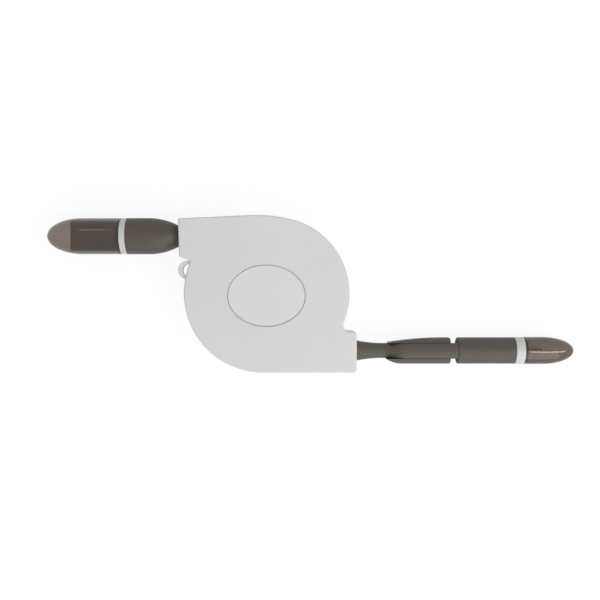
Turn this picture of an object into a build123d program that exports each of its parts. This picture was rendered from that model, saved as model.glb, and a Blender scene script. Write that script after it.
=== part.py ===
from build123d import *
import math
import os

# A retractable charging cable that lies on its back. The origin is on the spool's axis at the back face,
# +X points to the adapter's end, +Z points out of the front. All lengths are in millimetres.

# Case
case_height = 16.0
case_wall = 1.8
lobe_radius = 31.2
lower_lobe_x = -1.35
upper_lobe_x = 2.4
upper_lobe_y = -0.15
upper_lobe_trim = 1.3
shoulder_growth = 25.4
shoulder_start_deg = 75.0
left_tab_width = 16.8
left_tab_reach = 3.5
left_tab_fall_deg = 2.6
left_tab_slope_deg = 18.9
left_mouth_slant_deg = 1.8
right_tab_width = 16.22
right_tab_reach = 3.9
left_corner = 0.5
right_corner = 1.4
left_hollow = 1.2
right_hollow = 2.4
inner_corner = 0.4
edge_round = 0.7
seam_bevel = 0.2
lip_thickness = 0.8
lip_height = 1.0
lip_gap = 0.1
rib_thickness = 1.2
rib_length = 11.0

# Lanyard loop
loop_reach = 0.1
loop_below_tab = 5.33
loop_radius = 3.6
loop_hole_radius = 2.5
loop_hole_shift = 0.7
loop_thickness = 2.4
loop_drop = 1.2
loop_round = 0.4

# Oval inlay in the front
inlay_half_x = 15.2
inlay_half_y = 12.0
inlay_x = -0.3
inlay_y = -0.93
inlay_thickness = 0.9
inlay_gap = 0.12
inlay_bevel = 0.25
inlay_rim_bevel = 0.4

# Axle and centre screw
axle_radius = 3.0
axle_joint_rise = 2.0
running_gap = 0.05
screw_radius = 1.0
screw_length = 7.0
screw_head_radius = 1.9
screw_head_height = 1.3
screw_head_sink = 1.4
screw_gap = 0.1
screw_slot_width = 0.6
screw_slot_depth = 0.6

# Flat cable, wound double on the spool
cable_thickness = 1.0
cable_width = 5.0
cable_depth_in_tab = 8.35
layer_gap = 0.08
half_turns = 8
cable_slack = 0.3
cable_anchor = 6.0

# Spool
flange_gap = 0.8
lower_flange = 1.8
upper_flange = 1.2
spool_gap = 0.3
drum_gap = 0.11
drum_wall = 1.5
cover_thickness = 0.8
cover_ledge = 0.8
cover_gap = 0.1

# Lock ball and its track under the spool
ball_radius = 0.9
ball_gap = 0.2
track_inset = 4.6
track_depth = 0.8
pocket_count = 6
pocket_reach = 2.2

# Mainspring
spring_thickness = 0.3
spring_top_gap = 0.8
spring_half_turns = 16
spring_end_gap = 0.3
spring_hook = 0.9
hook_gap = 0.2

# Parts shared by both connectors
mouth_gap = 0.3
cap_wall = 0.6
cap_gap = 0.1
collar_bevel = 0.15
contact_thickness = 0.15

# A-type plug
usb_width = 12.0
usb_thickness = 4.5
usb_corner = 0.7
usb_sheet = 0.3
usb_reach = 18.75
usb_root = 7.0
usb_window = 2.3
usb_window_setback = 5.2
usb_window_half_pitch = 2.6
usb_tongue_thickness = 1.84
usb_tongue_setback = 0.5
usb_block_length = 8.0
usb_contact_count = 4
usb_contact_width = 1.0
usb_contact_length = 8.0
usb_contact_pitch = 2.25

# A-type connector's grip, collar and cap
usb_grip_length = 20.9
usb_tail_radius = 3.9
usb_taper_length = 12.5
usb_collar_length = 2.4
usb_spigot = 1.2
usb_cap_length = 29.8
usb_nose_length = 14.0
usb_cap_clearance = 0.08

# Adapter end: core and winged sleeve
core_radius = 3.0
core_tail_radius = 4.05
core_relief_length = 10.5
core_nose = 3.5
crown_rise = 9.0
crown_sink = 0.15
crown_gap = 0.1
sleeve_radius = 5.28
sleeve_lower_start = 11.8
sleeve_upper_start = 12.7
sleeve_lower_shoulder = 7.0
sleeve_upper_shoulder = 23.5
sleeve_tail_lip = 0.3
sleeve_end = 37.1
sleeve_corner = 0.5
sleeve_slot_gap = 0.12

# Docking blade on the core's end
blade_width = 5.2
blade_thickness = 1.5
blade_corner = 0.5
blade_length = 6.6
blade_root = 3.0
blade_contact_count = 6
blade_contact_width = 0.5
blade_contact_length = 3.0
blade_contact_pitch = 0.85
blade_gap = 0.15

# Adapter
notch_width = 3.05
adapter_length = 22.85
adapter_lip = 0.4
adapter_dish = 0.9
socket_radius = 4.0
socket_length = 8.5
adapter_collar_length = 3.6
adapter_collar_proud = 0.15
adapter_spigot = 1.0
adapter_cap_length = 20.15
adapter_nose_length = 12.3

# Small plug on the adapter
micro_roll_deg = 90.0
micro_width = 6.85
micro_thickness = 1.85
micro_slant = 0.6
micro_sheet = 0.25
micro_reach = 5.7
micro_root = 4.0
micro_tongue_width = 3.8
micro_tongue_thickness = 0.6
micro_tongue_setback = 0.4
micro_contact_count = 5
micro_contact_width = 0.4
micro_contact_length = 3.5
micro_contact_pitch = 0.65

# Places that follow from the dimensions above
mid_z = case_height / 2
ceiling_z = case_height - case_wall
recess_z = case_height - inlay_thickness
left_mouth_x = lobe_radius + left_tab_reach
right_mouth_x = lobe_radius + right_tab_reach
left_tab_edge = lobe_radius - left_tab_width
right_tab_edge = right_tab_width - lobe_radius
loop_x = -(lobe_radius + loop_reach)
loop_y = left_tab_edge - loop_below_tab
axle_joint_z = mid_z + axle_joint_rise
screw_seat_z = recess_z - screw_head_sink - screw_head_height
cable_line = lobe_radius - cable_depth_in_tab
layer_pitch = cable_thickness + layer_gap
drum_radius = cable_line - half_turns * layer_pitch - cable_thickness / 2 - drum_gap
upper_lobe_radius = lobe_radius - upper_lobe_trim
flange_radius = upper_lobe_radius - math.hypot(upper_lobe_x, upper_lobe_y) - case_wall - flange_gap
track_radius = flange_radius - track_inset
spring_room = drum_radius - drum_wall
spool_low = case_wall + spool_gap
spool_floor = spool_low + lower_flange
spool_high = ceiling_z - spool_gap
spool_roof = spool_high - upper_flange
cover_low = spool_high - cover_thickness
spring_low = spool_floor + spool_gap
spring_width = axle_joint_z - spring_top_gap - spring_low

usb_tail_x = -(left_mouth_x + mouth_gap)
usb_front_x = usb_tail_x - usb_grip_length
usb_collar_x = usb_front_x - usb_collar_length
usb_spigot_x = usb_collar_x - usb_spigot
usb_tip_x = usb_spigot_x - usb_reach
usb_root_x = usb_spigot_x + usb_root
usb_cap_x = usb_collar_x - usb_cap_length
usb_nose_x = usb_cap_x + usb_nose_length
usb_corner_reach = math.hypot(usb_width / 2 - usb_corner, usb_thickness / 2 - usb_corner) + usb_corner
usb_nose_share = (usb_nose_x - usb_tip_x) / (usb_nose_length - cap_wall)
usb_bore = (usb_corner_reach + usb_cap_clearance) / math.sqrt(1 - usb_nose_share**2)
usb_radius = usb_bore + cap_wall

core_tail_x = right_mouth_x + mouth_gap
sleeve_end_x = core_tail_x + sleeve_end
adapter_x = sleeve_end_x + notch_width
core_end_x = adapter_x + core_nose
blade_tip_x = core_end_x + blade_length
adapter_front_x = adapter_x + adapter_length
adapter_collar_x = adapter_front_x + adapter_collar_length
adapter_spigot_x = adapter_collar_x + adapter_spigot
micro_tip_x = adapter_spigot_x + micro_reach
micro_root_x = adapter_spigot_x - micro_root
adapter_cap_x = adapter_collar_x + adapter_cap_length
adapter_nose_x = adapter_cap_x - adapter_nose_length
adapter_cap_radius = sleeve_radius + adapter_collar_proud
adapter_bore = adapter_cap_radius - cap_wall
socket_x = core_end_x + cap_gap
slot_high = cable_width + 2 * cable_slack
slot_wide = cable_thickness + 2 * cable_slack

usb_axis = Pos(0, cable_line, mid_z)
adapter_axis = Pos(0, -cable_line, mid_z)
micro_roll = Rot(micro_roll_deg, 0, 0)
upright = (Align.CENTER, Align.CENTER, Align.MIN)


def column(radius, low, high, x=0, y=0):
    """A round column between two heights."""
    return Pos(x, y, low) * Cylinder(radius, high - low, align=upright)


def block(x_from, x_to, width, height, y=0, z=0):
    """A block along X, centred on a line at y and z."""
    return Pos((x_from + x_to) / 2, y, z) * Box(abs(x_to - x_from), width, height)


def slab(sketch, low, high):
    """A flat outline raised between two heights."""
    return Pos(0, 0, low) * extrude(sketch, high - low)


def turned(*edges):
    """A profile of edges in X and radius, turned about the X axis."""
    return revolve(make_face(edges), Axis.X)


def turned_points(*points):
    """A straight-sided profile of points in X and radius, turned about the X axis."""
    return turned(*Polyline(*points, close=True).edges())


def bar(profile, x_from, x_to):
    """A section in Y and Z run along X."""
    along = Plane(origin=(min(x_from, x_to), 0, 0), x_dir=(0, 1, 0), z_dir=(1, 0, 0))
    return extrude(along * profile, abs(x_to - x_from))


def nearest_round(sketch, corner, radius):
    """The sketch with the corner nearest to a point rounded."""
    return fillet(sketch.vertices().sort_by_distance(corner)[0], radius)


def polar(length, angle_deg):
    """A step of some length in a direction."""
    angle = math.radians(angle_deg)
    return Vector(math.cos(angle), math.sin(angle)) * length


def crossing(point, way, other_point, other_way):
    """Where two lines meet, each given by a point and a direction."""
    gap = other_point - point
    spread = way.X * other_way.Y - way.Y * other_way.X
    return point + way * ((gap.X * other_way.Y - gap.Y * other_way.X) / spread)


def case_outline(inset=0):
    """The S-shaped outline, or one parallel to it inside: two round lobes that each run into a tab."""
    upper_radius = upper_lobe_radius - inset
    lower_radius = lobe_radius - inset
    shoulder_radius = upper_radius + shoulder_growth
    upper = Vector(upper_lobe_x, upper_lobe_y)
    lower = Vector(lower_lobe_x, 0)
    shoulder = upper - polar(shoulder_growth, shoulder_start_deg)

    top_deg = 90 + left_tab_fall_deg
    top = shoulder + polar(shoulder_radius, top_deg)
    end_point = Vector(-left_mouth_x, cable_line) + polar(inset, left_mouth_slant_deg)
    end_way = polar(1, 90 + left_mouth_slant_deg)
    top_left = crossing(top, polar(1, left_tab_fall_deg), end_point, end_way)

    under_way = polar(1, -left_tab_slope_deg)
    under_point = Vector(-left_mouth_x, left_tab_edge) + polar(inset, 90 - left_tab_slope_deg)
    under_left = crossing(under_point, under_way, end_point, end_way)
    to_lower = lower - under_left
    along = to_lower.dot(under_way)
    aside = to_lower.length**2 - along**2
    under_right = under_left + under_way * (along - math.sqrt(lower_radius**2 - aside))
    under_deg = math.degrees(math.atan2(under_right.Y - lower.Y, under_right.X - lower.X))

    right_x = right_mouth_x - inset
    edge_y = right_tab_edge - inset
    edge_deg = math.degrees(math.asin((edge_y - upper.Y) / upper_radius))
    edge_start = upper + polar(upper_radius, edge_deg)
    edge_end = Vector(right_x, edge_y)
    bottom = lower - Vector(0, lower_radius)
    bottom_right = Vector(right_x, bottom.Y)

    sketch = make_face([
        Line(top_left, top),
        CenterArc(shoulder, shoulder_radius, top_deg, shoulder_start_deg - top_deg),
        CenterArc(upper, upper_radius, shoulder_start_deg, edge_deg - shoulder_start_deg),
        Line(edge_start, edge_end),
        Line(edge_end, bottom_right),
        Line(bottom_right, bottom),
        CenterArc(lower, lower_radius, 270, under_deg - 270),
        Line(under_right, under_left),
        Line(under_left, top_left),
    ])
    sketch = nearest_round(sketch, edge_start, right_hollow)
    sketch = nearest_round(sketch, under_right, left_hollow)
    for corner, rounding in (
        (top_left, left_corner),
        (under_left, left_corner),
        (edge_end, right_corner),
        (bottom_right, right_corner),
    ):
        sketch = nearest_round(sketch, corner, max(rounding - inset, inner_corner))
    return sketch


def guide_ribs(low, high):
    """Two ribs in each tab that lead the cable to its mouth."""
    ribs = []
    aside = slot_wide / 2 + rib_thickness / 2
    for mouth, line in ((-left_mouth_x, cable_line), (right_mouth_x, -cable_line)):
        inner = mouth - math.copysign(case_wall + rib_length, mouth)
        for side in (-aside, aside):
            ribs.append(block(mouth, inner, rib_thickness, high - low, line + side, (low + high) / 2))
    return Part() + ribs


def mouth_slots():
    """The slots in the tabs' ends that the flat cable runs through."""
    slots = []
    for mouth, line in ((-left_mouth_x, cable_line), (right_mouth_x, -cable_line)):
        inner = mouth - math.copysign(case_wall * 2, mouth)
        outer = mouth + math.copysign(case_wall, mouth)
        slots.append(block(inner, outer, slot_wide, slot_high, line, mid_z))
    return Part() + slots


def shell_body(low, high, rounded_z):
    """One half of the case as a solid block, rounded at the outside and bevelled at the seam."""
    body = slab(case_outline(), low, high)
    body = fillet(body.edges().filter_by_position(Axis.Z, rounded_z, rounded_z), edge_round)
    return chamfer(body.edges().filter_by_position(Axis.Z, mid_z, mid_z), seam_bevel)


def lanyard_loop():
    """The half ring that stands out of the front shell's side."""
    high = case_height - loop_drop
    ring = column(loop_radius, high - loop_thickness, high, loop_x, loop_y)
    ring = fillet(ring.edges().filter_by(GeomType.CIRCLE), loop_round)
    ring -= column(loop_hole_radius, mid_z, case_height, loop_x + loop_hole_shift, loop_y)
    return ring - slab(case_outline(), mid_z, case_height)


def ball_slot():
    """The radial slot in the rear floor that the lock ball moves in."""
    depth = ball_radius
    radius = ball_radius + ball_gap / 2
    inner = track_radius - pocket_reach
    slot = column(radius, case_wall - depth, case_wall, inner)
    slot += column(radius, case_wall - depth, case_wall, track_radius)
    middle = case_wall - depth / 2
    return slot + block(inner, track_radius, 2 * radius, depth, 0, middle)


def rear_shell():
    shell = shell_body(0, mid_z, 0)
    cavity = slab(case_outline(case_wall), case_wall, mid_z)
    shell -= cavity
    lip = case_outline(case_wall - lip_thickness) - case_outline(case_wall)
    shell += slab(lip, mid_z, mid_z + lip_height)
    shell += guide_ribs(case_wall, mid_z) & cavity
    axle = column(axle_radius, case_wall, axle_joint_z)
    pilot_low = screw_seat_z - screw_length - screw_gap
    axle -= column(screw_radius + running_gap, pilot_low, axle_joint_z)
    hook_mid = (screw_radius + axle_radius) / 2
    hook_height = axle_joint_z - spring_low
    axle -= Pos(0, hook_mid + running_gap, spring_low) * Box(
        spring_thickness + 2 * hook_gap, axle_radius - screw_radius, hook_height, align=upright
    )
    shell += axle
    return shell - mouth_slots() - ball_slot()


def front_shell():
    shell = shell_body(mid_z, case_height, case_height)
    cavity = slab(case_outline(case_wall), mid_z, ceiling_z)
    shell -= cavity
    shell += lanyard_loop()
    rebate = case_outline(case_wall - lip_thickness - lip_gap)
    shell -= slab(rebate, mid_z, mid_z + lip_height + lip_gap)
    shell += guide_ribs(mid_z + lip_height + lip_gap, ceiling_z) & cavity
    shell += column(axle_radius, axle_joint_z, ceiling_z)
    shell -= slab(Pos(inlay_x, inlay_y) * Ellipse(inlay_half_x, inlay_half_y), recess_z, case_height)
    rim = shell.edges().filter_by_position(Axis.Z, case_height, case_height).filter_by(GeomType.ELLIPSE)
    shell = chamfer(rim, inlay_rim_bevel)
    shell -= column(screw_head_radius + screw_gap, screw_seat_z, recess_z)
    shell -= column(screw_radius + screw_gap, axle_joint_z, screw_seat_z)
    return shell - mouth_slots()


def front_inlay():
    oval = Pos(inlay_x, inlay_y) * Ellipse(inlay_half_x - inlay_gap, inlay_half_y - inlay_gap)
    plate = slab(oval, recess_z, case_height)
    return chamfer(plate.edges().filter_by_position(Axis.Z, case_height, case_height), inlay_bevel)


def case_screw():
    high = screw_seat_z + screw_head_height
    screw = column(screw_head_radius, screw_seat_z, high)
    screw = fillet(screw.edges().filter_by_position(Axis.Z, high, high), screw_head_height / 3)
    screw += column(screw_radius, screw_seat_z - screw_length, screw_seat_z)
    for turn in (0, 90):
        screw -= Pos(0, 0, high - screw_slot_depth) * Rot(0, 0, turn) * Box(
            2 * screw_head_radius - screw_slot_width, screw_slot_width, screw_head_height, align=upright
        )
    return screw


def lock_ball():
    return Pos(track_radius, 0, case_wall) * Sphere(ball_radius)


def spool():
    bore = axle_radius + running_gap
    ledge = spring_room + cover_ledge
    section = Polyline(
        (bore, spool_low),
        (flange_radius, spool_low),
        (flange_radius, spool_floor),
        (drum_radius, spool_floor),
        (drum_radius, spool_roof),
        (flange_radius, spool_roof),
        (flange_radius, spool_high),
        (ledge, spool_high),
        (ledge, cover_low),
        (spring_room, cover_low),
        (spring_room, spool_floor),
        (bore, spool_floor),
        close=True,
    )
    profile = Plane.XZ * make_face(section)
    reel = revolve(profile, Axis.Z)
    half_track = ball_radius + ball_gap
    track_top = spool_low + track_depth
    track = column(track_radius + half_track, spool_low, track_top)
    track -= column(track_radius - half_track, spool_low, track_top)
    pocket = column(half_track, spool_low, track_top, track_radius - pocket_reach)
    pocket += Pos(track_radius - pocket_reach, 0, spool_low) * Box(
        pocket_reach, 2 * half_track, track_depth, align=(Align.MIN, Align.CENTER, Align.MIN)
    )
    for step in range(pocket_count):
        track += Rot(0, 0, step * 360 / pocket_count) * pocket
    reel -= track
    slit = Pos(0, spring_room, spring_low) * Box(
        spring_thickness + 2 * hook_gap, 2 * (spring_hook + hook_gap), spring_width + hook_gap, align=upright
    )
    return reel - slit


def spring_cover():
    cover = column(spring_room + cover_ledge - cover_gap, cover_low, spool_high)
    return cover - column(axle_radius + running_gap, cover_low, spool_high)


def half_turn_arcs(first_radius, step, count, side):
    """Half circles that run on from each other, inwards clockwise or outwards the other way.

    side is added to every radius, so that the same call draws either face of the strip."""
    arcs = []
    for turn in range(count):
        near = first_radius + turn * step
        far = near + step
        up = 1 if turn % 2 == 0 else -1
        centre = (0, up * (near - far) / 2)
        direction = -180 if step < 0 else 180
        arcs.append(CenterArc(centre, (near + far) / 2 + side, up * 90, direction))
    return arcs


def wound_cable():
    """One flat cable, folded at the drum and wound double, so that its ends leave on opposite sides."""
    half = cable_thickness / 2
    outer = half_turn_arcs(cable_line, -layer_pitch, half_turns, half)
    inner = half_turn_arcs(cable_line, -layer_pitch, half_turns, -half)
    turn_round = Rot(0, 0, 180)
    other_outer = [turn_round * arc for arc in outer[:-1]]
    other_inner = [turn_round * arc for arc in inner[:-1]]
    fold_low = cable_line - half_turns * layer_pitch
    fold_high = fold_low + layer_pitch
    edges = outer + inner + other_outer + other_inner
    edges.append(Line((0, cable_line - half), (0, cable_line + half)))
    edges.append(Line((0, -cable_line - half), (0, half - cable_line)))
    edges.append(Line((0, fold_low + half), (0, fold_high - half)))
    edges.append(CenterArc((0, (fold_low + fold_high) / 2), layer_pitch / 2 + half, -90, 180))
    low = mid_z - cable_width / 2
    return slab(make_face(edges), low, low + cable_width)


def mainspring():
    """A flat steel strip from a slot in the axle out to a slit in the drum."""
    half = spring_thickness / 2
    first = axle_radius + spring_end_gap + half
    last = spring_room - spring_end_gap - half
    step = (last - first) / spring_half_turns
    outer = half_turn_arcs(first, step, spring_half_turns, half)
    inner = half_turn_arcs(first, step, spring_half_turns, -half)
    edges = outer + inner
    edges.append(Line((0, first - half), (0, first + half)))
    edges.append(Line((0, last - half), (0, last + half)))
    hook_in = screw_radius + 2 * hook_gap
    hook_out = spring_room + spring_hook
    strip = make_face(edges)
    for low, high in ((hook_in, first + half), (last - half, hook_out)):
        strip += Pos(0, (low + high) / 2) * Rectangle(spring_thickness, high - low)
    return slab(strip, spring_low + hook_gap, spring_low + hook_gap + spring_width)


def cable_run(anchor_x, line):
    """The straight cable from the wound turns to its anchor in a connector."""
    return block(0, anchor_x, cable_thickness, cable_width, line, mid_z)


def bullet_cap(mouth_x, nose_x, tip_x, radius):
    """A hollow cap: a straight tube that ends in half an ellipsoid, towards tip_x."""
    length = abs(tip_x - nose_x)
    bore = radius - cap_wall
    inner_tip = tip_x - math.copysign(cap_wall, tip_x)
    start = 90 if tip_x < mouth_x else 0
    outer_nose = EllipticalCenterArc((nose_x, 0), length, radius, start, arc_size=90)
    inner_nose = EllipticalCenterArc((nose_x, 0), length - cap_wall, bore, start, arc_size=90)
    return turned(
        Line((mouth_x, bore), (mouth_x, radius)),
        Line((mouth_x, radius), (nose_x, radius)),
        outer_nose,
        Line((tip_x, 0), (inner_tip, 0)),
        inner_nose,
        Line((nose_x, bore), (mouth_x, bore)),
    )


def collar(x_from, x_to, radius, bore):
    """A pale ring, bevelled at both outer edges."""
    low, high = sorted((x_from, x_to))
    return turned_points(
        (low, bore),
        (low, radius - collar_bevel),
        (low + collar_bevel, radius),
        (high - collar_bevel, radius),
        (high, radius - collar_bevel),
        (high, bore),
    )


def usb_section(inset=0):
    """The A-type plug's rounded section, or one parallel to it inside."""
    return RectangleRounded(usb_width - 2 * inset, usb_thickness - 2 * inset, usb_corner - inset)


def usb_grip():
    taper_x = usb_tail_x - usb_taper_length
    spigot_radius = usb_bore - cap_gap
    grip = turned(
        Line((usb_tail_x, 0), (usb_tail_x, usb_tail_radius)),
        TangentArc((taper_x, usb_radius), (usb_tail_x, usb_tail_radius), tangent=(1, 0)),
        Line((taper_x, usb_radius), (usb_front_x, usb_radius)),
        Line((usb_front_x, usb_radius), (usb_front_x, spigot_radius)),
        Line((usb_front_x, spigot_radius), (usb_spigot_x, spigot_radius)),
        Line((usb_spigot_x, spigot_radius), (usb_spigot_x, 0)),
        Line((usb_spigot_x, 0), (usb_tail_x, 0)),
    )
    grip -= bar(usb_section(), usb_spigot_x, usb_root_x)
    grip -= block(usb_tail_x - cable_anchor, usb_tail_x, cable_thickness, cable_width)
    return usb_axis * grip


def usb_collar():
    return usb_axis * collar(usb_front_x, usb_collar_x, usb_radius, usb_bore - cap_gap)


def usb_shell():
    shell = bar(usb_section() - usb_section(usb_sheet), usb_tip_x, usb_root_x)
    near = usb_tip_x + usb_window_setback
    for side in (-usb_window_half_pitch, usb_window_half_pitch):
        shell -= block(near, near + usb_window, usb_window, usb_thickness, side, -usb_thickness / 2)
    return usb_axis * shell


def usb_tongue():
    """The insulator: a block that fills the plug's root and a tongue that reaches to its mouth."""
    inner_half = usb_thickness / 2 - usb_sheet
    block_x = usb_root_x - usb_block_length
    front_x = usb_tip_x + usb_tongue_setback
    tongue = bar(usb_section(usb_sheet), block_x, usb_root_x)
    lower = Pos(0, (usb_tongue_thickness - 2 * inner_half) / 2) * Rectangle(usb_width, usb_tongue_thickness)
    tongue += bar(usb_section(usb_sheet) & lower, front_x, block_x)
    return usb_axis * tongue


def usb_contacts():
    top = usb_sheet + usb_tongue_thickness - usb_thickness / 2
    back = usb_root_x - usb_block_length
    strips = []
    for place in range(usb_contact_count):
        y = (place - (usb_contact_count - 1) / 2) * usb_contact_pitch
        strip = block(back - usb_contact_length, back, usb_contact_width, contact_thickness, y)
        strips.append(usb_axis * Pos(0, 0, top + contact_thickness / 2) * strip)
    return Compound(children=strips)


def usb_cap():
    return usb_axis * bullet_cap(usb_collar_x, usb_nose_x, usb_cap_x, usb_radius)


def tip_core():
    """The core: a flared strain relief, a crown in the sleeve's slot and over the notch, and a stem."""
    relief_x = core_tail_x + core_relief_length
    full_x = relief_x + crown_rise
    crown_end_x = adapter_x - crown_gap
    crown_radius = sleeve_radius - crown_sink
    ramp_middle = ((relief_x + full_x) / 2, (core_radius + crown_radius) / 2)
    core = turned(
        Line((core_tail_x, 0), (core_tail_x, core_tail_radius)),
        TangentArc((relief_x, core_radius), (core_tail_x, core_tail_radius), tangent=(-1, 0)),
        Line((relief_x, core_radius), (core_end_x, core_radius)),
        Line((core_end_x, core_radius), (core_end_x, 0)),
        Line((core_end_x, 0), (core_tail_x, 0)),
    )
    crown = turned(
        Line((relief_x, 0), (relief_x, core_radius)),
        TangentArc((relief_x, core_radius), ramp_middle, tangent=(1, 0)),
        TangentArc((full_x, crown_radius), ramp_middle, tangent=(-1, 0)),
        Line((full_x, crown_radius), (crown_end_x, crown_radius)),
        Line((crown_end_x, crown_radius), (crown_end_x, 0)),
        Line((crown_end_x, 0), (relief_x, 0)),
    )
    core += crown & block(relief_x, crown_end_x, 2 * core_radius, sleeve_radius, 0, sleeve_radius / 2)
    core -= block(core_tail_x, core_tail_x + cable_anchor, cable_thickness, cable_width)
    core -= bar(blade_section(), core_end_x - blade_root, core_end_x)
    return adapter_axis * core


def tip_sleeve():
    """A sleeve round the core, open along its top, with wings that start at different places."""
    tail = core_radius + sleeve_tail_lip
    lower_x = core_tail_x + sleeve_lower_start
    upper_x = core_tail_x + sleeve_upper_start
    lower_full = (lower_x + sleeve_lower_shoulder, -sleeve_radius)
    upper_full = (upper_x + sleeve_upper_shoulder, sleeve_radius)
    plan = make_face([
        TangentArc(lower_full, (lower_x, -tail), tangent=(-1, 0)),
        Line(lower_full, (sleeve_end_x, -sleeve_radius)),
        Line((sleeve_end_x, -sleeve_radius), (sleeve_end_x, sleeve_radius)),
        Line((sleeve_end_x, sleeve_radius), upper_full),
        TangentArc(upper_full, (upper_x, tail), tangent=(-1, 0)),
        Line((upper_x, tail), (lower_x, -tail)),
    ])
    for side in (-sleeve_radius, sleeve_radius):
        plan = nearest_round(plan, (sleeve_end_x, side), sleeve_corner)
    sleeve = bar(Circle(sleeve_radius), lower_x, sleeve_end_x)
    sleeve &= slab(plan, -sleeve_radius, sleeve_radius)
    sleeve -= bar(Circle(core_radius), lower_x, sleeve_end_x)
    slot_width = 2 * (core_radius + sleeve_slot_gap)
    sleeve -= block(lower_x, sleeve_end_x, slot_width, sleeve_radius, 0, sleeve_radius / 2)
    return adapter_axis * sleeve


def blade_section():
    return RectangleRounded(blade_width, blade_thickness, blade_corner)


def dock_blade():
    return adapter_axis * bar(blade_section(), core_end_x - blade_root, blade_tip_x)


def dock_contacts():
    strips = []
    z = blade_thickness / 2 + contact_thickness / 2
    front = blade_tip_x - blade_contact_width
    for place in range(blade_contact_count):
        y = (place - (blade_contact_count - 1) / 2) * blade_contact_pitch
        strip = block(front - blade_contact_length, front, blade_contact_width, contact_thickness, y, z)
        strips.append(adapter_axis * strip)
    return Compound(children=strips)


def adapter_body():
    """The adapter: a dished rear face, a mouth for the core and a spigot for the collar and cap."""
    mouth = core_radius + cap_gap
    spigot_radius = adapter_bore - cap_gap
    dish_x = adapter_x + adapter_dish
    rim = (adapter_x, sleeve_radius - adapter_lip)
    side = (adapter_x + adapter_lip, sleeve_radius)
    body = turned(
        Line((dish_x, 0), (dish_x, mouth)),
        TangentArc((dish_x, mouth), rim, tangent=(0, 1)),
        RadiusArc(rim, side, adapter_lip),
        Line(side, (adapter_front_x, sleeve_radius)),
        Line((adapter_front_x, sleeve_radius), (adapter_front_x, spigot_radius)),
        Line((adapter_front_x, spigot_radius), (adapter_spigot_x, spigot_radius)),
        Line((adapter_spigot_x, spigot_radius), (adapter_spigot_x, 0)),
        Line((adapter_spigot_x, 0), (dish_x, 0)),
    )
    body -= bar(Circle(mouth), adapter_x, socket_x)
    body -= bar(Circle(socket_radius), socket_x, socket_x + socket_length)
    body -= micro_roll * bar(micro_section(), micro_root_x, adapter_spigot_x)
    return adapter_axis * body


def adapter_socket():
    """The insert that the docking blade slides into."""
    insert = bar(Circle(socket_radius), socket_x, socket_x + socket_length)
    width = blade_width + 2 * blade_gap
    thickness = blade_thickness + 2 * (contact_thickness + blade_gap)
    slot = RectangleRounded(width, thickness, blade_corner)
    return adapter_axis * (insert - bar(slot, socket_x, blade_tip_x + blade_gap))


def adapter_collar():
    bore = adapter_bore - cap_gap
    return adapter_axis * collar(adapter_front_x, adapter_collar_x, adapter_cap_radius, bore)


def micro_section(inset=0):
    """The small plug's section, narrower at the bottom, or one parallel to it inside."""
    half = micro_width / 2 - inset
    top = micro_thickness / 2 - inset
    low_half = half - micro_slant
    low_side = micro_slant - top
    corners = Polyline(
        (half, top),
        (half, low_side),
        (low_half, -top),
        (-low_half, -top),
        (-half, low_side),
        (-half, top),
        close=True,
    )
    return make_face(corners.edges())


def micro_shell():
    shell = bar(micro_section() - micro_section(micro_sheet), micro_root_x, micro_tip_x)
    return adapter_axis * micro_roll * shell


def micro_tongue():
    """The insulator: a block in the small plug's root and a narrow tongue on its floor."""
    tongue = bar(micro_section(micro_sheet), micro_root_x, adapter_spigot_x)
    floor = micro_sheet - micro_thickness / 2
    tongue += block(
        adapter_spigot_x,
        micro_tip_x - micro_tongue_setback,
        micro_tongue_width,
        micro_tongue_thickness,
        0,
        floor + micro_tongue_thickness / 2,
    )
    return adapter_axis * micro_roll * tongue


def micro_contacts():
    strips = []
    front = adapter_spigot_x + micro_contact_length
    z = micro_sheet - micro_thickness / 2 + micro_tongue_thickness + contact_thickness / 2
    for place in range(micro_contact_count):
        y = (place - (micro_contact_count - 1) / 2) * micro_contact_pitch
        strip = block(adapter_spigot_x, front, micro_contact_width, contact_thickness, y, z)
        strips.append(adapter_axis * micro_roll * strip)
    return Compound(children=strips)


def tip_cap():
    return adapter_axis * bullet_cap(adapter_collar_x, adapter_nose_x, adapter_cap_x, adapter_cap_radius)


nodes = {
    "rear_shell": rear_shell(),
    "front_shell": front_shell(),
    "front_inlay": front_inlay(),
    "case_screw": case_screw(),
    "lock_ball": lock_ball(),
    "spool": spool(),
    "spring_cover": spring_cover(),
    "mainspring": mainspring(),
    "wound_cable": wound_cable(),
    "usb_grip": usb_grip(),
    "usb_collar": usb_collar(),
    "usb_shell": usb_shell(),
    "usb_tongue": usb_tongue(),
    "usb_contacts": usb_contacts(),
    "usb_cable_run": cable_run(usb_tail_x - cable_anchor, cable_line),
    "usb_cap": usb_cap(),
    "tip_core": tip_core(),
    "tip_sleeve": tip_sleeve(),
    "tip_cable_run": cable_run(core_tail_x + cable_anchor, -cable_line),
    "dock_blade": dock_blade(),
    "dock_contacts": dock_contacts(),
    "adapter_body": adapter_body(),
    "adapter_socket": adapter_socket(),
    "adapter_collar": adapter_collar(),
    "micro_shell": micro_shell(),
    "micro_tongue": micro_tongue(),
    "micro_contacts": micro_contacts(),
    "tip_cap": tip_cap(),
}

os.makedirs("parts", exist_ok=True)
for name, shape in nodes.items():
    export_step(shape, f"parts/{name}.step")
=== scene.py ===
import math

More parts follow.
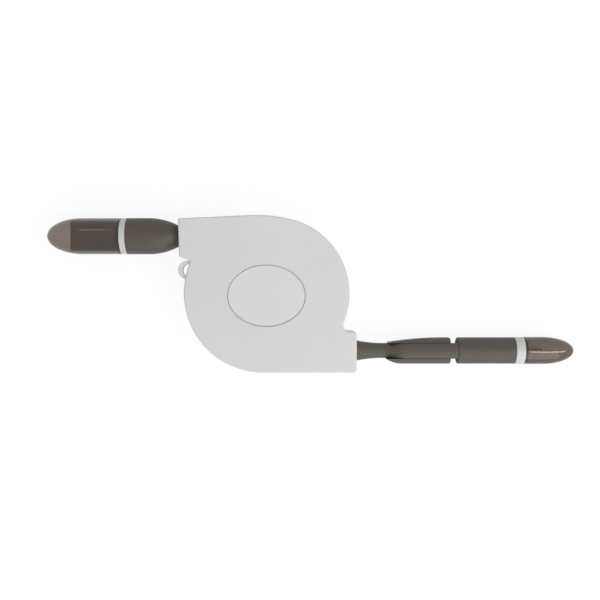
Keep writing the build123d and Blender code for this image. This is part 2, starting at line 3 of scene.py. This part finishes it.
import bmesh
import bpy
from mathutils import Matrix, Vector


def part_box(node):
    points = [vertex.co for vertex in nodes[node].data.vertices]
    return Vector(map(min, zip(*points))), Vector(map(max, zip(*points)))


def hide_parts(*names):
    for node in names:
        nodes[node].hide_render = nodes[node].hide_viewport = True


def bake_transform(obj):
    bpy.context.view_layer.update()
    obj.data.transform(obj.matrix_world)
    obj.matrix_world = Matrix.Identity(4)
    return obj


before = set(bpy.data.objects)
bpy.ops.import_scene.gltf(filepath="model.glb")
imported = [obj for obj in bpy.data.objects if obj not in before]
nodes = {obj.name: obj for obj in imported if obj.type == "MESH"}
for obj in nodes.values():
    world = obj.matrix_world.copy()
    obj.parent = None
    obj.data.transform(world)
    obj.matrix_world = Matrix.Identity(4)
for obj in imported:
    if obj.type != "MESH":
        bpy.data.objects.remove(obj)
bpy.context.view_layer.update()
scene = bpy.context.scene
scene.view_settings.view_transform = "Standard"


# Camera: straight above, a little to the right of the reel
camera_place = (0.01288, -0.00268, 0.338)
camera_lens = 49.5
camera_sensor = 36.0
camera_nearest = 0.01
camera_farthest = 20.0

camera_data = bpy.data.cameras.new("camera")
camera_data.lens = camera_lens
camera_data.sensor_width = camera_sensor
camera_data.clip_start = camera_nearest
camera_data.clip_end = camera_farthest
camera = bpy.data.objects.new("camera", camera_data)
camera.location = camera_place
scene.collection.objects.link(camera)
scene.camera = camera


# Materials: noise in lumps to the metre, relief depths in metres
noise_low = 0.3
noise_high = 0.7
flow_lumps = 45.0
handling_lumps = 160.0
handling_spread = 0.06
mould_relief = 0.5

smoke_lumps = 70.0
smoke_wander = 0.02
smoke_polish = 0.03
hair_lumps = 900.0
hair_stretch = (0.05, 1.0, 1.0)
hair_roughness = 0.03
hair_depth = 0.000002
hair_relief = 0.2
clear_plastic_ior = 1.49

stain_lumps = 120.0
stain_dark = 0.94
stain_pale = 1.03
drawn_relief = 0.4
along_x = (0.04, 1.0, 1.0)
along_z = (1.0, 1.0, 0.04)
unstretched = (1.0, 1.0, 1.0)


def material_tree(name):
    """A new material with one Principled shader: its tree, the shader and places in metres."""
    material = bpy.data.materials.new(name)
    material.use_nodes = True
    tree = material.node_tree
    tree.nodes.clear()
    output = tree.nodes.new("ShaderNodeOutputMaterial")
    shader = tree.nodes.new("ShaderNodeBsdfPrincipled")
    tree.links.new(shader.outputs["BSDF"], output.inputs["Surface"])
    place = tree.nodes.new("ShaderNodeTexCoord").outputs["Object"]
    return material, tree, shader, place


def noise(tree, place, lumps, detail, stretch=unstretched):
    """Noise with so many lumps to the metre, drawn out along an axis where stretch is below 1."""
    mapping = tree.nodes.new("ShaderNodeMapping")
    mapping.inputs["Scale"].default_value = stretch
    tree.links.new(place, mapping.inputs["Vector"])
    texture = tree.nodes.new("ShaderNodeTexNoise")
    texture.inputs["Scale"].default_value = lumps
    texture.inputs["Detail"].default_value = detail
    tree.links.new(mapping.outputs["Vector"], texture.inputs["Vector"])
    return texture.outputs["Fac"]


def spread(tree, value, low, high, start=noise_low, end=noise_high):
    """A value that runs from start to end, brought to the range from low to high."""
    node = tree.nodes.new("ShaderNodeMapRange")
    node.inputs["From Min"].default_value = start
    node.inputs["From Max"].default_value = end
    node.inputs["To Min"].default_value = low
    node.inputs["To Max"].default_value = high
    tree.links.new(value, node.inputs["Value"])
    return node.outputs["Result"]


def mottled(tree, value, colour, dark, pale):
    """A colour that wanders between a darker and a paler shade of itself."""
    ramp = tree.nodes.new("ShaderNodeValToRGB")
    for stop, position, factor in zip(ramp.color_ramp.elements, (noise_low, noise_high), (dark, pale)):
        stop.position = position
        stop.color = (*[part * factor for part in colour], 1.0)
    tree.links.new(value, ramp.inputs["Fac"])
    return ramp.outputs["Color"]


def bumped(tree, shader, value, depth, strength):
    """Relief on the shader, its depth in metres."""
    bump = tree.nodes.new("ShaderNodeBump")
    bump.inputs["Distance"].default_value = depth
    bump.inputs["Strength"].default_value = strength
    tree.links.new(value, bump.inputs["Height"])
    tree.links.new(bump.outputs["Normal"], shader.inputs["Normal"])


def moulded(name, colour, roughness, grain=2600.0, depth=0.00002, wander=0.02, gloss=0.5):
    """Moulded plastic: a fine grain from the mould, faint flow marks in its colour and an uneven gloss."""
    material, tree, shader, place = material_tree(name)
    flow = noise(tree, place, flow_lumps, detail=3.0)
    fine = noise(tree, place, grain, detail=3.0)
    handled = noise(tree, place, handling_lumps, detail=4.0)
    tree.links.new(mottled(tree, flow, colour, 1 - wander, 1 + wander), shader.inputs["Base Color"])
    uneven = spread(tree, handled, roughness - handling_spread, roughness + handling_spread)
    tree.links.new(uneven, shader.inputs["Roughness"])
    shader.inputs["Specular IOR Level"].default_value = gloss
    bumped(tree, shader, fine, depth, mould_relief)
    return material


def smoked(name, skin_colour, depth_colour, density):
    """Clear plastic, tinted at the skin and in its depth, with a polished skin and faint hair scratches."""
    material, tree, shader, place = material_tree(name)
    flow = noise(tree, place, smoke_lumps, detail=2.0)
    hairs = noise(tree, place, hair_lumps, detail=2.0, stretch=hair_stretch)
    skin = mottled(tree, flow, skin_colour, 1 - smoke_wander, 1 + smoke_wander)
    tree.links.new(skin, shader.inputs["Base Color"])
    scratched = spread(tree, hairs, smoke_polish, smoke_polish + hair_roughness)
    tree.links.new(scratched, shader.inputs["Roughness"])
    shader.inputs["Transmission Weight"].default_value = 1.0
    shader.inputs["IOR"].default_value = clear_plastic_ior
    bumped(tree, shader, hairs, hair_depth, hair_relief)
    depth = tree.nodes.new("ShaderNodeVolumeAbsorption")
    depth.inputs["Color"].default_value = (*depth_colour, 1.0)
    depth.inputs["Density"].default_value = density
    tree.links.new(depth.outputs["Volume"], tree.get_output_node("ALL").inputs["Volume"])
    return material


def metal(name, colour, roughness, stretch, lines=2200.0, depth=0.000006, streak=0.05):
    """Plated or rolled metal with fine marks, which stretch draws out into lines."""
    material, tree, shader, place = material_tree(name)
    drawn = noise(tree, place, lines, detail=3.0, stretch=stretch)
    stain = noise(tree, place, stain_lumps, detail=3.0)
    tree.links.new(mottled(tree, stain, colour, stain_dark, stain_pale), shader.inputs["Base Color"])
    shader.inputs["Metallic"].default_value = 1.0
    tree.links.new(spread(tree, drawn, roughness - streak, roughness + streak), shader.inputs["Roughness"])
    bumped(tree, shader, drawn, depth, drawn_relief)
    return material


def plated(name, colour, roughness):
    """Smooth plated sheet with the faintest of lines along X."""
    return metal(name, colour, roughness, along_x, depth=0.0000005, streak=0.03)


skin_tint = (0.88, 0.86, 0.84)
finishes = {
    "case_plastic": moulded("case_plastic", (0.610, 0.610, 0.607), 0.48),
    "inlay_plastic": moulded("inlay_plastic", (0.636, 0.636, 0.634), 0.38, grain=4000.0, depth=0.00001),
    "collar_plastic": moulded("collar_plastic", (0.530, 0.525, 0.517), 0.26, grain=3200.0, depth=0.000008),
    "dark_plastic": moulded("dark_plastic", (0.077, 0.064, 0.052), 0.45, wander=0.05, gloss=0.32),
    "smoke_plastic": smoked("smoke_plastic", skin_tint, (0.24, 0.11, 0.0), 1440.0),
    "plug_steel": plated("plug_steel", (0.50, 0.49, 0.48), 0.34),
    "spring_steel": metal("spring_steel", (0.42, 0.43, 0.45), 0.32, along_z),
    "screw_steel": metal("screw_steel", (0.52, 0.52, 0.54), 0.30, unstretched, lines=900.0),
    "contact_gold": metal("contact_gold", (0.80, 0.58, 0.22), 0.24, along_x),
    "insulator_plastic": moulded("insulator_plastic", (0.022, 0.022, 0.023), 0.45, wander=0.06),
    "spool_plastic": moulded("spool_plastic", (0.47, 0.47, 0.455), 0.50),
    "cable_jacket": moulded("cable_jacket", (0.070, 0.062, 0.055), 0.55, grain=3500.0, gloss=0.35),
}
for node in nodes.values():
    for slot in node.material_slots:
        slot.material = finishes[slot.material.name.split(".")[0]]

# The small cap is of a darker smoke than the large one
small_cap_smoke = smoked("small_cap_smoke", skin_tint, (0.24, 0.12, 0.01), 1900.0)
nodes["tip_cap"].material_slots[0].material = small_cap_smoke

# The large plug's steel is painted darker and warmer than the small one's: painted shade standing in for
# the dark surroundings and smoky cap it mirrors
painted_dark_plug_steel = plated("painted_dark_plug_steel", (0.21, 0.188, 0.172), 0.30)
nodes["usb_shell"].material_slots[0].material = painted_dark_plug_steel


# Cable between the case and each plug: a flat jacket with round edges
run_segments = 160
edge_steps = 8
sharp_edge_deg = 40.0


def flat_section(thickness, width):
    """The jacket's section in Y and Z: two flat sides and two round edges."""
    radius = thickness / 2
    straight = width / 2 - radius
    points = []
    for end, first_angle in ((1, 0.0), (-1, math.pi)):
        for step in range(edge_steps + 1):
            angle = first_angle + math.pi * step / edge_steps
            points.append((radius * math.cos(angle), end * straight + radius * math.sin(angle)))
    return points


def jacket_mesh(name, section, middle, inner_x, outer_x):
    """The section run along X from inner_x to outer_x, closed at both ends."""
    mesh = bmesh.new()
    rings = []
    for step in range(run_segments + 1):
        x = inner_x + (outer_x - inner_x) * step / run_segments
        rings.append([mesh.verts.new((x, middle.y + y, middle.z + z)) for y, z in section])
    count = len(section)
    for ring, following in zip(rings, rings[1:]):
        for place in range(count):
            beside = (place + 1) % count
            mesh.faces.new((ring[place], ring[beside], following[beside], following[place]))
    mesh.faces.new(rings[0])
    mesh.faces.new(rings[-1])
    bmesh.ops.recalc_face_normals(mesh, faces=mesh.faces)
    data = bpy.data.meshes.new(name)
    mesh.to_mesh(data)
    mesh.free()
    data.shade_smooth()
    data.set_sharp_from_angle(angle=math.radians(sharp_edge_deg))
    return data


def cable_run(name, node, inner_x, outer_x):
    """A jacket in the node's place, run along X from inner_x to outer_x; the node itself is hidden."""
    low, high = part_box(node)
    middle = (low + high) / 2
    section = flat_section(high.y - low.y, high.z - low.z)
    data = jacket_mesh(name, section, middle, inner_x, outer_x)
    data.materials.append(finishes["cable_jacket"])
    run = bpy.data.objects.new(name, data)
    scene.collection.objects.link(run)
    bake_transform(run)
    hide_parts(node)


usb_low, usb_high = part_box("usb_cable_run")
tip_low, tip_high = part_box("tip_cable_run")
cable_run("usb_side_cable", "usb_cable_run", usb_high.x, usb_low.x)
cable_run("tip_side_cable", "tip_cable_run", tip_low.x, tip_high.x)


# Floor: white to the eye, and matt where the object shades it
floor_size = 6.0
floor_drop = 0.0002
floor_colour = (0.88, 0.88, 0.88, 1.0)
floor_glow = 1.04
floor_glow_share = 0.85


def seen_rays(tree):
    """1 for rays that show the floor or the sky: straight, mirrored or through clear plastic."""
    path = tree.nodes.new("ShaderNodeLightPath")
    seen = path.outputs["Is Camera Ray"]
    for ray in ("Is Glossy Ray", "Is Transmission Ray"):
        larger = tree.nodes.new("ShaderNodeMath")
        larger.operation = "MAXIMUM"
        tree.links.new(seen, larger.inputs[0])
        tree.links.new(path.outputs[ray], larger.inputs[1])
        seen = larger.outputs[0]
    return seen


def floor_paint():
    """Matt paint that takes the shadow, with a share of white glow for the rays that reach the eye."""
    paint = bpy.data.materials.new("floor_paint")
    paint.use_nodes = True
    tree = paint.node_tree
    tree.nodes.clear()
    matt = tree.nodes.new("ShaderNodeBsdfDiffuse")
    matt.inputs["Color"].default_value = floor_colour
    glow = tree.nodes.new("ShaderNodeEmission")
    glow.inputs["Strength"].default_value = floor_glow
    share = tree.nodes.new("ShaderNodeMath")
    share.operation = "MULTIPLY"
    share.inputs[1].default_value = floor_glow_share
    both = tree.nodes.new("ShaderNodeMixShader")
    output = tree.nodes.new("ShaderNodeOutputMaterial")
    tree.links.new(seen_rays(tree), share.inputs[0])
    tree.links.new(share.outputs[0], both.inputs["Fac"])
    tree.links.new(matt.outputs["BSDF"], both.inputs[1])
    tree.links.new(glow.outputs["Emission"], both.inputs[2])
    tree.links.new(both.outputs["Shader"], output.inputs["Surface"])
    return paint


floor_mesh = bmesh.new()
bmesh.ops.create_grid(floor_mesh, x_segments=1, y_segments=1, size=floor_size / 2)
floor_data = bpy.data.meshes.new("floor")
floor_mesh.to_mesh(floor_data)
floor_mesh.free()
floor_data.materials.append(floor_paint())
floor = bpy.data.objects.new("floor", floor_data)
floor.location = (0, 0, -floor_drop)
scene.collection.objects.link(floor)


# Light: a white room, brightest overhead, a large soft lamp to the front, and a strip for each cap's gleam
room_overhead = 0.78
room_side = 0.40
sky_brightness = 1.0
white = (1.0, 1.0, 1.0, 1.0)


def lamp(name, place, width, height, radiance, tilt_deg):
    """A rectangular lamp with its width along X, tilted about X away from shining straight down."""
    data = bpy.data.lights.new(name, "AREA")
    data.shape = "RECTANGLE"
    data.size = width
    data.size_y = height
    data.energy = math.pi * width * height * radiance
    light = bpy.data.objects.new(name, data)
    light.location = place
    light.rotation_euler = (math.radians(tilt_deg), 0, 0)
    light.visible_camera = False
    scene.collection.objects.link(light)


def white_room():
    """A world that lights the object most from overhead, and shows as a plain white sky."""
    world = bpy.data.worlds.new("room")
    world.use_nodes = True
    tree = world.node_tree
    tree.nodes.clear()
    direction = tree.nodes.new("ShaderNodeTexCoord").outputs["Generated"]
    axes = tree.nodes.new("ShaderNodeSeparateXYZ")
    tree.links.new(direction, axes.inputs["Vector"])
    room = tree.nodes.new("ShaderNodeBackground")
    brightness = spread(tree, axes.outputs["Z"], room_side, room_overhead, start=0.0, end=1.0)
    tree.links.new(brightness, room.inputs["Strength"])
    sky = tree.nodes.new("ShaderNodeBackground")
    sky.inputs["Strength"].default_value = sky_brightness
    for background in (room, sky):
        background.inputs["Color"].default_value = white
    choice = tree.nodes.new("ShaderNodeMixShader")
    output = tree.nodes.new("ShaderNodeOutputWorld")
    tree.links.new(seen_rays(tree), choice.inputs["Fac"])
    tree.links.new(room.outputs["Background"], choice.inputs[1])
    tree.links.new(sky.outputs["Background"], choice.inputs[2])
    tree.links.new(choice.outputs["Shader"], output.inputs["Surface"])
    return world


lamp("soft_lamp", (0.30, -0.62, 0.46), width=0.85, height=0.80, radiance=1.50, tilt_deg=55.0)
lamp("right_strip", (0.735, -0.152, 0.598), width=0.93, height=0.15, radiance=6.80, tilt_deg=10.5)
lamp("left_strip", (-0.22, 0.380, 0.490), width=0.045, height=0.11, radiance=1.10, tilt_deg=-36.5)
scene.world = white_room()
